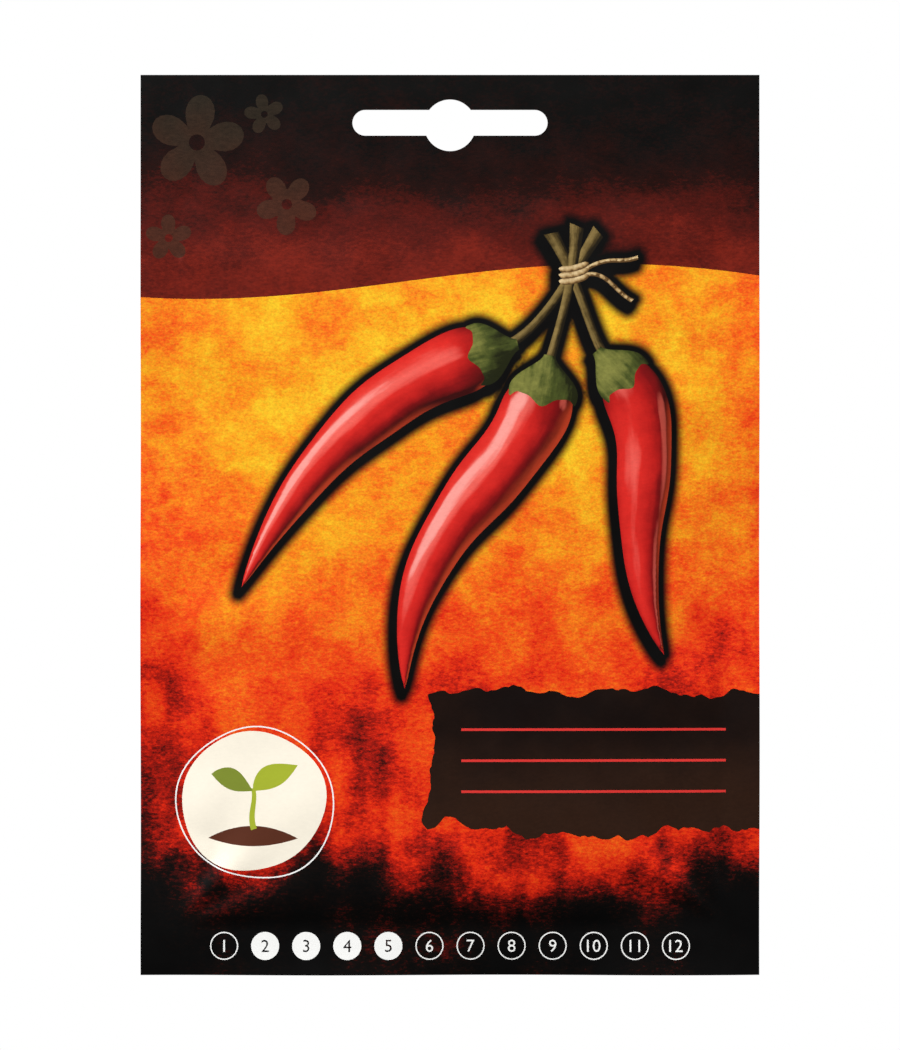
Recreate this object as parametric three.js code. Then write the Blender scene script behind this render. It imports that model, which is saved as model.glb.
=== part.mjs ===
// A paper seed packet that hangs by its header. A printed front panel and a back panel of the
// same laminated paper are heat-sealed face to face along all four edges. The shallow pocket
// between them swells towards the bottom, where the loose pepper seeds lie.
// Millimetres, +Z up. The printed front faces -Y, with +X to its reader's right. The origin is
// where a peg bears: the top of the round part of the hang slot, in the plane of the seals.
import * as THREE from 'three';

// Driving dimensions of the paper
const packetWidth = 110;
const packetHeight = 160;
const paperThickness = 0.15;

// Depth of each heat seal, from the packet's edge to the pocket
const headerSeal = 22;
const sideSeal = 7;
const bottomSeal = 9;

// The hang slot: a long slot with a round hole across its middle, a little lower. Each drop is
// measured from the packet's top edge to the centre line.
const slotLength = 34.7;
const slotWidth = 4.6;
const slotDrop = 8.5;
const roundDiameter = 9.2;
const roundDrop = 8.95;
const slotArcSteps = 6;

// The pocket's swell: how far each panel stands off the seal plane at its fullest, how quickly
// it rises above the bottom seal, and how it rounds off to the sides and towards the header
const swellDepth = 1.9;
const swellRise = 4.5;
const sideRounding = 0.8;
const headerRounding = 1.7;
const pocketColumns = 16;
const pocketRows = 20;
const rowGrading = 1.5;

// One pepper seed: a flat disc with a thick rim, a dented middle and a small beak
const seedLength = 3.8;
const seedWidth = 3.2;
const seedThickness = 0.85;
const seedDent = 0.25;
const seedBeak = 0.1;
const seedSides = 12;
const seedSizeSpread = 0.06;

// The heap of seeds: rows of a hexagonal packing, one layer against each panel
const seedRowCounts = [6, 4, 2];
const seedPitch = 4.3;
const seedJitter = 0.08;
const seedClearance = 0.15;
const heapFoot = 5;
const layerShift = 0.6;
const heapSeed = 20251;

// Places that follow from the driving dimensions
const leftEdge = -packetWidth / 2;
const topEdge = roundDrop - roundDiameter / 2;
const bottomEdge = topEdge - packetHeight;
const pocketLeft = leftEdge + sideSeal;
const pocketWidth = packetWidth - 2 * sideSeal;
const pocketTop = topEdge - headerSeal;
const pocketBottom = bottomEdge + bottomSeal;
const pocketHeight = pocketTop - pocketBottom;

const printedPaper = new THREE.MeshStandardMaterial({ color: 0xd8541e, roughness: 0.45, metalness: 0 });
const plainPaper = new THREE.MeshStandardMaterial({ color: 0xe9e2d2, roughness: 0.6, metalness: 0 });
const seedSkin = new THREE.MeshStandardMaterial({ color: 0xe0c48c, roughness: 0.65, metalness: 0 });

// How far either panel stands off the seal plane at a point of the packet
function pocketDepth(x, z) {
  const across = (x - pocketLeft) / pocketWidth;
  const height = z - pocketBottom;
  if (across <= 0 || across >= 1 || height <= 0 || height >= pocketHeight) return 0;
  const roundedAcross = Math.pow(4 * across * (1 - across), sideRounding);
  const risen = 1 - Math.exp(-height / swellRise);
  const falling = 1 - Math.pow(height / pocketHeight, headerRounding);
  return swellDepth * roundedAcross * risen * falling;
}

// The slot's outline, counterclockwise: right end, top of the round, left end, bottom of the round
function slotOutline() {
  const endRadius = slotWidth / 2;
  const endX = slotLength / 2 - endRadius;
  const slotZ = topEdge - slotDrop;
  const roundRadius = roundDiameter / 2;
  const roundZ = topEdge - roundDrop;
  const upperAngle = Math.asin((slotZ + endRadius - roundZ) / roundRadius);
  const lowerAngle = Math.asin((slotZ - endRadius - roundZ) / roundRadius);
  const path = new THREE.Path();
  path.absarc(endX, slotZ, endRadius, -Math.PI / 2, Math.PI / 2);
  path.absarc(0, roundZ, roundRadius, upperAngle, Math.PI - upperAngle);
  path.absarc(-endX, slotZ, endRadius, Math.PI / 2, 1.5 * Math.PI);
  path.absarc(0, roundZ, roundRadius, Math.PI - lowerAngle, 2 * Math.PI + lowerAngle);
  return path.getPoints(slotArcSteps);
}

// The columns and rows of the grid that covers the packet below its header
function gridLines() {
  const columns = [leftEdge];
  for (let i = 0; i <= pocketColumns; i += 1) columns.push(pocketLeft + pocketWidth * i / pocketColumns);
  columns.push(-leftEdge);
  const rows = [bottomEdge];
  for (let i = 0; i <= pocketRows; i += 1) {
    rows.push(pocketBottom + pocketHeight * Math.pow(i / pocketRows, rowGrading));
  }
  return { columns, rows };
}

// One panel's outline as a flat net of triangles: the slotted header, then the grid below it
function panelNet() {
  const { columns, rows } = gridLines();
  const points = [];
  const triangles = [];
  for (const z of rows) {
    for (const x of columns) points.push(new THREE.Vector2(x, z));
  }
  for (let row = 0; row < rows.length - 1; row += 1) {
    for (let column = 0; column < columns.length - 1; column += 1) {
      const a = row * columns.length + column;
      const b = a + 1;
      const c = a + columns.length;
      const d = c + 1;
      if (column < (columns.length - 1) / 2) triangles.push([a, b, d], [a, d, c]);
      else triangles.push([a, b, c], [b, d, c]);
    }
  }
  const seamStart = (rows.length - 1) * columns.length;
  const seam = columns.map((_, column) => seamStart + column);
  const corners = [points.length, points.length + 1];
  points.push(new THREE.Vector2(-leftEdge, topEdge), new THREE.Vector2(leftEdge, topEdge));
  const hole = slotOutline();
  const holeStart = points.length;
  points.push(...hole);
  const outerLoop = [...seam, ...corners];
  const netIndex = [...outerLoop, ...hole.map((_, i) => holeStart + i)];
  const header = THREE.ShapeUtils.triangulateShape(outerLoop.map((i) => points[i]), [hole]);
  for (const face of header) triangles.push(face.map((i) => netIndex[i]));
  return { points, triangles: triangles.map((face) => counterclockwise(face, points)) };
}

function counterclockwise([a, b, c], points) {
  const area = THREE.ShapeUtils.area([points[a], points[b], points[c]]);
  return area > 0 ? [a, b, c] : [a, c, b];
}

// The edges that only one triangle uses, in that triangle's direction
function rimEdges(triangles) {
  const edges = new Map();
  for (const [a, b, c] of triangles) {
    for (const [from, to] of [[a, b], [b, c], [c, a]]) edges.set(`${from} ${to}`, [from, to]);
  }
  return [...edges.values()].filter(([from, to]) => !edges.has(`${to} ${from}`));
}

// A closed sheet between two copies of the net, one nearer the reader than the other
function sheetGeometry(net, nearY, farY) {
  const count = net.points.length;
  const positions = [];
  for (const offset of [nearY, farY]) {
    for (const point of net.points) positions.push(point.x, offset(point.x, point.y), point.y);
  }
  const faces = [];
  for (const [a, b, c] of net.triangles) {
    faces.push(a, b, c);
    faces.push(count + a, count + c, count + b);
  }
  for (const [from, to] of rimEdges(net.triangles)) {
    faces.push(from, count + from, count + to);
    faces.push(from, count + to, to);
  }
  const geometry = new THREE.BufferGeometry();
  geometry.setAttribute('position', new THREE.Float32BufferAttribute(positions, 3));
  geometry.setIndex(faces);
  geometry.computeVertexNormals();
  return geometry;
}

// The front panel swells towards the reader and the back panel away from them
function frontPanel(net) {
  const outer = (x, z) => -pocketDepth(x, z) - paperThickness;
  const inner = (x, z) => -pocketDepth(x, z);
  const panel = new THREE.Mesh(sheetGeometry(net, outer, inner), printedPaper);
  panel.name = 'front_web';
  return panel;
}

function backPanel(net) {
  const inner = (x, z) => pocketDepth(x, z);
  const outer = (x, z) => pocketDepth(x, z) + paperThickness;
  const panel = new THREE.Mesh(sheetGeometry(net, inner, outer), plainPaper);
  panel.name = 'back_web';
  return panel;
}

// A seed of unit length and width, turned about Y, with its beak pulled out along +X
function seedGeometry() {
  const half = seedThickness / 2;
  const profile = [
    [0, -half * (1 - seedDent)],
    [0.6, -half],
    [0.9, -half * 0.7],
    [1, 0],
    [0.9, half * 0.7],
    [0.6, half],
    [0, half * (1 - seedDent)],
  ];
  const geometry = new THREE.LatheGeometry(profile.map(([r, y]) => new THREE.Vector2(r, y)), seedSides);
  const position = geometry.getAttribute('position');
  for (let i = 0; i < position.count; i += 1) {
    const alignment = position.getX(i) / Math.max(Math.hypot(position.getX(i), position.getZ(i)), 1e-6);
    const reach = 1 + seedBeak * Math.pow(Math.max(alignment, 0), 8);
    position.setX(i, position.getX(i) * reach * seedLength / 2);
    position.setZ(i, position.getZ(i) * seedWidth / 2);
  }
  geometry.computeVertexNormals();
  return geometry;
}

// Repeatable random numbers from 0 to 1
function randomSource(seed) {
  let state = seed;
  return () => {
    state = (state * 1664525 + 1013904223) % 4294967296;
    return state / 4294967296;
  };
}

// The seeds leaning on one panel: side -1 is the front panel, +1 the back panel
function seedLayer(shape, side, firstNumber, random) {
  const layer = new THREE.Group();
  const spread = (amount) => amount * (2 * random() - 1);
  seedRowCounts.forEach((count, row) => {
    for (let i = 0; i < count; i += 1) {
      const x = (i - (count - 1) / 2) * seedPitch + side * layerShift + spread(seedJitter);
      const height = heapFoot + row * seedPitch * Math.sqrt(0.75) + spread(seedJitter);
      const z = pocketBottom + height;
      const slope = (pocketDepth(x, z + 1) - pocketDepth(x, z - 1)) / 2;
      const seed = new THREE.Mesh(shape, seedSkin);
      seed.name = `seed_${String(firstNumber + layer.children.length).padStart(2, '0')}`;
      seed.position.set(x, side * (pocketDepth(x, z) - seedThickness / 2 - seedClearance), z);
      seed.rotation.set(-side * Math.atan(slope), Math.PI * 2 * random(), 0, 'XYZ');
      seed.scale.setScalar(1 - seedSizeSpread * random());
      layer.add(seed);
    }
  });
  return layer;
}

function looseSeeds() {
  const shape = seedGeometry();
  const random = randomSource(heapSeed);
  const seeds = new THREE.Group();
  const frontLayer = seedLayer(shape, -1, 1, random);
  seeds.add(frontLayer, seedLayer(shape, 1, frontLayer.children.length + 1, random));
  return seeds;
}

const net = panelNet();
const packet = new THREE.Group();
packet.add(frontPanel(net), backPanel(net), looseSeeds());

export default packet;
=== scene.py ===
"""A hanging paper seed packet: a printed front panel and a back panel, heat-sealed along all four
edges round a shallow pocket of loose pepper seeds. Both panels are fine sheets whose print is cut
into the mesh, so that every printed edge stays sharp. The print is a generic one of chillies.

Lengths are millimetres on the packet: x from its centre line, h up from its bottom edge. Those of
the studio are metres."""
import math
from dataclasses import dataclass

import bpy
import numpy as np
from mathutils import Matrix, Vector
from mathutils.geometry import delaunay_2d_cdt


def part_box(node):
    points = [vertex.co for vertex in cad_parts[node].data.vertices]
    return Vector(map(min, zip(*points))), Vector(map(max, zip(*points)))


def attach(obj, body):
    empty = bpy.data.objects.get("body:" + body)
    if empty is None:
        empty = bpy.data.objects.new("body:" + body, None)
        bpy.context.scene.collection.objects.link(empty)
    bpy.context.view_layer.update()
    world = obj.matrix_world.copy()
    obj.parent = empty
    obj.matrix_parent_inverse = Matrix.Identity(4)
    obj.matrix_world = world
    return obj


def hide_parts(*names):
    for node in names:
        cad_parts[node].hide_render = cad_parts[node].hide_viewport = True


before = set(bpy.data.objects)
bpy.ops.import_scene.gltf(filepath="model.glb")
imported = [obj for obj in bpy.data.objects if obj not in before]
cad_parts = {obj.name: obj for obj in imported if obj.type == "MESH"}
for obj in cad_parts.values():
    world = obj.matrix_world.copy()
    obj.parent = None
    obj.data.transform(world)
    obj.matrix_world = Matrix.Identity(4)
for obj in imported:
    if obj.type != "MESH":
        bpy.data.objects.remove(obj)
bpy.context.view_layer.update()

MM = 0.001
FRONT_LOW, FRONT_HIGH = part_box("front_web")
WIDTH = (FRONT_HIGH.x - FRONT_LOW.x) / MM
HEIGHT = (FRONT_HIGH.z - FRONT_LOW.z) / MM
HALF_WIDTH = WIDTH / 2
BOTTOM_Z = FRONT_LOW.z

# The paper and its heat seals
PAPER = 0.15
HEADER_SEAL = 22
SIDE_SEAL = 7
BOTTOM_SEAL = 9
POCKET_HALF = HALF_WIDTH - SIDE_SEAL
POCKET_TOP = HEIGHT - HEADER_SEAL
POCKET_HEIGHT = POCKET_TOP - BOTTOM_SEAL

# The hang slot, with heights above the bottom edge
SLOT_LENGTH = 34.7
SLOT_WIDTH = 4.6
SLOT_H = HEIGHT - 8.5
ROUND_RADIUS = 4.6
ROUND_H = HEIGHT - 8.95

# The pocket's swell, its puckers along the seals, the folds that fan out from its lower corners,
# the lumps of the seeds that lean on it, and the wave that it pulls into the packet's edges
SWELL_DEPTH = 1.9
SWELL_RISE = 4.5
SIDE_ROUNDING = 0.8
HEADER_ROUNDING = 1.7
PUCKER_DEPTH = 0.34
PUCKER_REACH = 13
PUCKER_FADE = 55
FOLD_DEPTH = 0.3
FOLD_REACH = 9
LUMP_HEIGHT = 0.2
LUMP_RADIUS = 1.7
EDGE_WAVE = 0.55
EDGE_REACH = 11

# Spacing of the loose mesh points in the seals, in the pocket and round the printed fruit, the
# longest side of an outline, and the clear space that the loose points keep from every outline
SEAL_STEP = 2.2
POCKET_STEP = 1.25
FINE_STEP = 0.7
RIM_STEP = 1.5
POINT_CLEARANCE = 0.28

# The step in the inks' noise from one pictured body to the next, so that no two are marked alike
SHAPE_SPACING = 10

# How far from the fruit their dark halo is worked out, and the distance that means no halo
HALO_LIMIT = 8
NO_HALO = 99.0


def add_object(name, data):
    made = bpy.data.objects.new(name, data)
    bpy.context.scene.collection.objects.link(made)
    return made


# Shape of the packet

def pocket_depth(x, h):
    """How far either panel stands off the seal plane."""
    across = np.clip((x + POCKET_HALF) / (2 * POCKET_HALF), 0, 1)
    height = np.clip(h - BOTTOM_SEAL, 0, POCKET_HEIGHT)
    rounded = (4 * across * (1 - across)) ** SIDE_ROUNDING
    risen = 1 - np.exp(-height / SWELL_RISE)
    falling = 1 - (height / POCKET_HEIGHT) ** HEADER_ROUNDING
    return SWELL_DEPTH * rounded * risen * falling


def ripple(along, phase):
    """Uneven waves of about unit height along a seal."""
    short, long, swing = 2.6, 4.1, 9
    strength = 0.75 + 0.25 * np.sin(along / swing + 3 * phase)
    waves = np.sin(along / short + phase) + 0.7 * np.sin(along / long + 2.3 * phase)
    return strength * waves


def puckers(x, h, phase):
    """Small gathers that run in from the seals, where the flat paper is pulled round the pocket."""
    onset, slant, swing, phase_step = 2.5, 0.12, 23, 1.7
    seams = ((POCKET_HALF - x, h), (POCKET_HALF + x, h + 50),
             (h - BOTTOM_SEAL, x), (POCKET_TOP - h, x + 70))
    total = np.zeros_like(x)
    for number, (distance, along) in enumerate(seams):
        distance = np.maximum(distance, 0)
        slanted = along + slant * distance * np.sin(along / swing + number)
        envelope = np.exp(-distance / PUCKER_REACH) * (1 - np.exp(-distance / onset))
        total += ripple(slanted, phase + phase_step * number) * envelope
    in_pocket = (abs(x) < POCKET_HALF) & (h > BOTTOM_SEAL) & (h < POCKET_TOP)
    fullness = 0.25 + 0.75 * np.exp(-np.maximum(h - BOTTOM_SEAL, 0) / PUCKER_FADE)
    return np.where(in_pocket, PUCKER_DEPTH * total * fullness, 0)


def corner_folds(x, h, phase):
    """Folds that fan out from the pocket's lower corners, where the seals meet."""
    folds_in_a_turn, twist = 9, 0.5
    total = np.zeros_like(x)
    for side in (-1, 1):
        across, up = np.maximum(POCKET_HALF - side * x, 0), np.maximum(h - BOTTOM_SEAL, 0)
        reach = np.hypot(across, up) / FOLD_REACH
        angle = np.arctan2(up, across)
        envelope = reach * np.exp(1 - reach) * np.sin(2 * angle)
        total += np.sin(folds_in_a_turn * angle + twist * reach + side * phase) * envelope
    return FOLD_DEPTH * total


def edge_wave(x, h):
    """How far the whole packet leaves its plane along its edges. The header stays flat."""
    side_swing, foot_swing, fade_start = 11, 10, 70
    beside = np.exp(-(HALF_WIDTH - abs(x)) / EDGE_REACH) * np.sin(h / side_swing + np.sign(x))
    below = np.exp(-h / (EDGE_REACH / 2)) * np.sin(x / foot_swing + 0.6)
    flattened = 1 - np.clip((h - fade_start) / (POCKET_TOP - fade_start), 0, 1) ** 2
    return EDGE_WAVE * (beside * flattened + below)


def seed_lumps(x, h, side):
    """Faint lumps over the seeds that lean on this panel."""
    total = np.zeros_like(x)
    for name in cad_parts:
        if not name.startswith("seed_"):
            continue
        low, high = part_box(name)
        middle = (low + high) / 2
        if middle.y * side > 0:
            distance = np.hypot(x - middle.x / MM, h - (middle.z - BOTTOM_Z) / MM)
            total = np.maximum(total, LUMP_HEIGHT * np.exp(-(distance / LUMP_RADIUS) ** 2 / 2))
    return total


def panel_depth(x, h, side):
    """How far this panel stands off the seal plane, with its puckers, folds and lumps."""
    base = pocket_depth(x, h)
    lumps = seed_lumps(x, h, side)
    phase = 0.7 if side < 0 else 2.9
    gathers = (puckers(x, h, phase) + corner_folds(x, h, phase)) * (1 - lumps / LUMP_HEIGHT)
    deepest_hollow = -0.6 * base
    return base + np.maximum(gathers, deepest_hollow) + lumps


# Outlines

def arc(cx, cy, radius, start, end, steps=24):
    """Points of a round stretch, from one angle to another in degrees."""
    angles = np.radians(np.linspace(start, end, steps + 1))
    return np.column_stack([cx + radius * np.cos(angles), cy + radius * np.sin(angles)])


def circle(cx, cy, radius, steps=48):
    return arc(cx, cy, radius, 0, 360 * (1 - 1 / steps), steps - 1)


def rectangle(left, low, right, high):
    return np.array([(left, low), (right, low), (right, high), (left, high)], float)


def rounded_rectangle(left, low, right, high, radius):
    corners = [(right, high, 0), (left, high, 90), (left, low, 180), (right, low, 270)]
    arcs = []
    for x, y, start in corners:
        centre_x = x - math.copysign(radius, x - (left + right) / 2)
        centre_y = y - math.copysign(radius, y - (low + high) / 2)
        arcs.append(arc(centre_x, centre_y, radius, start, start + 90, 8))
    return np.vstack(arcs)


def divided(loop, step):
    """The same closed outline with no side longer than step."""
    points = []
    for start, end in zip(loop, np.roll(loop, -1, axis=0)):
        count = max(1, math.ceil(np.linalg.norm(end - start) / step))
        points += [start + (end - start) * i / count for i in range(count)]
    return np.array(points)


def slot_outline():
    end_radius = SLOT_WIDTH / 2
    end_x = SLOT_LENGTH / 2 - end_radius
    upper = math.degrees(math.asin((SLOT_H + end_radius - ROUND_H) / ROUND_RADIUS))
    lower = math.degrees(math.asin((SLOT_H - end_radius - ROUND_H) / ROUND_RADIUS))
    return np.vstack([
        arc(end_x, SLOT_H, end_radius, -90, 90),
        arc(0, ROUND_H, ROUND_RADIUS, upper, 180 - upper),
        arc(-end_x, SLOT_H, end_radius, 90, 270),
        arc(0, ROUND_H, ROUND_RADIUS, 180 - lower, 360 + lower),
    ])


def fractal_line(length, amplitude, rng, step=0.45):
    """A wandering height along a line, with large and small steps, as torn paper has."""
    at = np.arange(0, length, step)
    total = np.zeros_like(at)
    for spacing, share in ((14, 1.0), (5, 0.7), (1.8, 0.45), (0.8, 0.25)):
        knots = np.arange(-spacing, length + 2 * spacing, spacing)
        total += np.interp(at, knots, rng.uniform(-share, share, len(knots)))
    return at, amplitude * total


def torn_side(start, end, amplitude, rng):
    """Points of a torn edge between two corners."""
    start, end = np.array(start, float), np.array(end, float)
    length = np.linalg.norm(end - start)
    along = (end - start) / length
    normal = np.array([along[1], -along[0]])
    at, height = fractal_line(length, amplitude, rng)
    fade = np.minimum(1, np.minimum(at, length - at) / 2)
    return start + np.outer(at, along) + np.outer(height * fade, normal)


# A tapered, curved body, such as a fruit or a stem

class Spine:
    """A centre line with a half width at each point. It gives the body's outline. For a picture of
    it as a round body, it also gives each point's way along and across it, and the direction that
    the round surface faces there: right, up and out of the picture."""

    SAMPLES = 160

    def __init__(self, controls, half_width):
        a, b, c, d = (np.array(point, float) for point in controls)
        self.along = np.linspace(0, 1, self.SAMPLES)
        t = self.along[:, None]
        self.points = (1 - t) ** 3 * a + 3 * (1 - t) ** 2 * t * b + 3 * (1 - t) * t ** 2 * c + t ** 3 * d
        steps = np.gradient(self.points, axis=0)
        lengths = np.linalg.norm(steps, axis=1)
        self.tangents = steps / lengths[:, None]
        self.normals = np.column_stack([-self.tangents[:, 1], self.tangents[:, 0]])
        self.travelled = np.cumsum(lengths)
        self.half_width = half_width(self.along)
        self.flare = np.gradient(self.half_width, self.travelled)

    def outline(self, every=3):
        picked = np.unique(np.append(np.arange(0, self.SAMPLES, every), self.SAMPLES - 1))
        offset = (self.normals * self.half_width[:, None])[picked]
        return np.vstack([self.points[picked] + offset, (self.points[picked] - offset)[-2::-1]])

    def round_form(self, points, roundness=1.0):
        """For each point, its way along and across in millimetres, and where it faces."""
        steps = np.linalg.norm(points[:, None] - self.points[None], axis=2)
        nearest = steps.argmin(axis=1)
        offset = ((points - self.points[nearest]) * self.normals[nearest]).sum(axis=1)
        across = np.clip(offset / np.maximum(self.half_width[nearest], 0.05), -0.98, 0.98)
        sideways = self.normals[nearest] * across[:, None]
        endways = self.tangents[nearest] * -self.flare[nearest][:, None]
        outward = np.sqrt(1 - across ** 2) / roundness
        form = np.column_stack([sideways + endways, outward])
        form /= np.linalg.norm(form, axis=1)[:, None]
        return np.column_stack([self.travelled[nearest], offset]), form


@dataclass
class Shape:
    """A flat printed shape: closed outlines filled by the even-odd rule, and its ink."""
    ink: str
    loops: list
    spine: Spine = None
    roundness: float = 1.0


# Numbers, from Blender's own plain font

def number_loops(number, cx, cy, size):
    """Outlines of a number centred on a point."""
    curve = bpy.data.curves.new("number", "FONT")
    curve.body = str(number)
    curve.size = size
    curve.align_x = "CENTER"
    curve.align_y = "CENTER"
    curve.resolution_u = 3
    curve.fill_mode = "NONE"
    text = add_object("number", curve)
    depsgraph = bpy.context.evaluated_depsgraph_get()
    evaluated = text.evaluated_get(depsgraph)
    mesh = evaluated.to_mesh()
    points = np.array([vertex.co[:2] for vertex in mesh.vertices])
    following = {}
    for edge in mesh.edges:
        for start, end in (edge.vertices, reversed(edge.vertices)):
            following.setdefault(start, []).append(end)
    evaluated.to_mesh_clear()
    bpy.data.objects.remove(text)
    bpy.data.curves.remove(curve)
    points -= (points.min(axis=0) + points.max(axis=0)) / 2
    loops = []
    while following:
        loop = [next(iter(following))]
        while ahead := [other for other in following.pop(loop[-1]) if other in following]:
            loop.append(ahead[0])
        loops.append(points[loop] + (cx, cy))
    return loops


# The front's print

def chilli_width(thickness):
    """Half widths of a fruit with a round shoulder, a long taper and a slightly uneven side."""
    shoulder_length = 0.14

    def half_width(s):
        shoulder = np.sqrt(1 - (1 - np.minimum(s / shoulder_length, 1)) ** 2)
        taper = (1 - s ** 2.3) ** 0.8
        uneven = 1 + 0.03 * np.sin(19 * s + thickness)
        return thickness / 2 * (0.5 + 0.5 * shoulder) * taper * uneven
    return half_width


def stem_width(s):
    return 0.95 - 0.2 * np.sin(math.pi * s) + 0.35 * s ** 8


def calyx(fruit):
    """A cap that flares from the stem over a fruit's shoulder, with small teeth round its skirt."""
    start, direction = fruit.points[0], fruit.tangents[0]
    at_shoulder = 12
    half = fruit.half_width[at_shoulder] * 1.03
    controls = [start - direction * 4.2, start - direction * 2, start, start + direction * 2.6]
    cap = Spine(controls, lambda s: 1.0 + (half - 1.0) * np.sin(math.pi / 2 * s) ** 1.6)
    angles = np.linspace(math.pi / 2, -math.pi / 2, 49)[1:-1]
    teeth = 1.5 * (0.5 + 0.5 * np.cos(5 * angles)) ** 2
    skirt = cap.points[-1] + np.outer(half * np.sin(angles), cap.normals[-1])
    skirt += np.outer(teeth + 1.5 * np.cos(angles) - 0.6, direction)
    sides = cap.points[::8], cap.normals[::8] * cap.half_width[::8, None]
    loop = np.vstack([sides[0] + sides[1], skirt, (sides[0] - sides[1])[::-1]])
    return Shape("calyx", [loop], cap, 0.8)


def chillies():
    """Three long chillies hung in a fan, with their stems tied in a knot of twine."""
    knot = np.array([22.0, 125.0])
    # Each fruit's thickness, its centre line, and how far its stem's end passes the knot
    fruits = [
        (11.5, [(8, 111), (-7, 107), (-24, 96), (-37, 69)], (4.6, 7.5)),
        (10.8, [(29, 108), (41, 96), (28, 80), (38, 57)], (-4.2, 7.2)),
        (12.4, [(17, 106), (14, 88), (-9, 82), (-8, 51)], (0.6, 8.6)),
    ]
    stems, bodies = [], []
    for thickness, controls, end in fruits:
        fruit = Spine(controls, chilli_width(thickness))
        start, direction = fruit.points[0], fruit.tangents[0]
        stem_controls = [start + direction, start - direction * 7, knot - np.array(end) * 0.7, knot + end]
        stem = Spine(stem_controls, stem_width)
        stems.append(Shape("stem", [stem.outline()], stem))
        bodies += [Shape("fruit", [fruit.outline()], fruit), calyx(fruit)]
    return stems + bodies + twine(knot)


def twine(knot):
    """Turns of twine round the stems, and the two loose ends."""
    tails = [
        [knot + (1.8, -0.6), knot + (6, 0.5), knot + (7, -3.5), knot + (10.5, -5.2)],
        [knot + (1.8, 0.2), knot + (6, 3.2), knot + (8.5, 1.2), knot + (11.5, 2.6)],
    ]
    turns = [[knot + (-2.7, dy - 0.5), knot + (-1, dy - 1.0), knot + (1, dy - 0.3), knot + (2.7, dy + 0.5)]
             for dy in (-1.1, 0.0, 1.1)]
    spines = [Spine(controls, lambda s: 0.36 + 0 * s) for controls in tails]
    spines += [Spine(controls, lambda s: 0.56 * (1 - (2 * s - 1) ** 8)) for controls in turns]
    return [Shape("twine", [spine.outline(6)], spine) for spine in spines]


def header_edge(x):
    """Height of the dark header's lower edge."""
    return 123 + 4.5 * np.sin((x + 8) / 27) - 0.035 * x


def header():
    x = np.linspace(-HALF_WIDTH, HALF_WIDTH, 80)
    lower = np.column_stack([x, header_edge(x)])
    return [Shape("header", [np.vstack([lower, [(HALF_WIDTH, HEIGHT), (-HALF_WIDTH, HEIGHT)]])])]


def blossom(cx, cy, radius, turn):
    angles = np.linspace(0, 2 * math.pi, 60, endpoint=False)
    reach = radius * (0.34 + 0.66 * abs(np.cos(2.5 * (angles - turn))) ** 0.7)
    eye = circle(cx, cy, radius * 0.17, 16)
    petals = np.column_stack([cx + reach * np.cos(angles), cy + reach * np.sin(angles)])
    return Shape("faint", [petals, eye])


def blossoms():
    places = [(-45, 148, 8.5, 0.2), (-29, 137, 5.5, 0.9), (-50, 131, 4.2, 1.6), (-33, 153, 3.6, 0.5)]
    return [blossom(*place) for place in places]


def label(rng):
    """A dark torn-paper label with ruled lines to write on."""
    left, low, high = -4, 26, 50
    lower_side = torn_side((HALF_WIDTH, low), (left, low), 1.5, rng)
    left_side = torn_side((left, low), (left, high), 1.1, rng)
    upper_side = torn_side((left, high), (HALF_WIDTH, high), 1.2, rng)
    outline = np.vstack([lower_side, left_side, upper_side, [(HALF_WIDTH, high)]])
    rules = [rectangle(left + 6, h, HALF_WIDTH - 6, h + 0.45) for h in (43.5, 38, 32.5)]
    return [Shape("label", [outline])] + [Shape("red", [rule]) for rule in rules]


def wobbly_circle(cx, cy, radius, amount, phase):
    angles = np.linspace(0, 2 * math.pi, 90, endpoint=False)
    wave = np.sin(2 * angles + phase) + 0.6 * np.sin(3 * angles + 2 * phase) + 0.35 * np.sin(5 * angles)
    reach = radius * (1 + amount * wave)
    return np.column_stack([cx + reach * np.cos(angles), cy + reach * np.sin(angles)])


def leaf(base, tip, belly):
    """A pointed leaf between two points, fuller on its outer side."""
    base, tip = np.array(base, float), np.array(tip, float)
    t = np.linspace(0, 1, 18)[:, None]
    normal = np.array([base[1] - tip[1], tip[0] - base[0]]) / np.linalg.norm(tip - base)
    spine = base + (tip - base) * t
    outer = spine + normal * belly * np.sin(math.pi * t ** 0.8)
    inner = spine - normal * belly * 0.55 * np.sin(math.pi * t)
    return np.vstack([outer, inner[-2:0:-1]])


def badge(cx, cy, radius):
    """A cream roundel with a seedling on a mound of soil."""
    ring = [wobbly_circle(cx + 0.5, cy - 0.4, radius + thickness, 0.028, 2.1) for thickness in (1.25, 1.0)]
    stem_controls = [(cx + 0.2, cy - 5), (cx - 0.8, cy - 2), (cx + 0.8, cy), (cx, cy + 2.4)]
    stem = Spine(stem_controls, lambda s: 0.55 - 0.2 * s)
    mound_x = np.linspace(-1, 1, 30)
    mound = np.vstack([
        np.column_stack([cx + 8 * mound_x, cy - 6.6 + 2.2 * (1 - mound_x ** 2)]),
        np.column_stack([cx - 8 * mound_x, cy - 6.6 - 1.4 * (1 - mound_x ** 2)])[1:-1],
    ])
    return [
        Shape("white", ring),
        Shape("cream", [wobbly_circle(cx, cy, radius, 0.03, 0.7)]),
        Shape("soil", [mound]),
        Shape("sprout", [stem.outline(8)]),
        Shape("sprout", [leaf((cx, cy + 1.8), (cx + 8, cy + 6.4), 2.7)]),
        Shape("leaf_dark", [leaf((cx - 7.4, cy + 4.8), (cx, cy + 1.8), 2.4)]),
    ]


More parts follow.
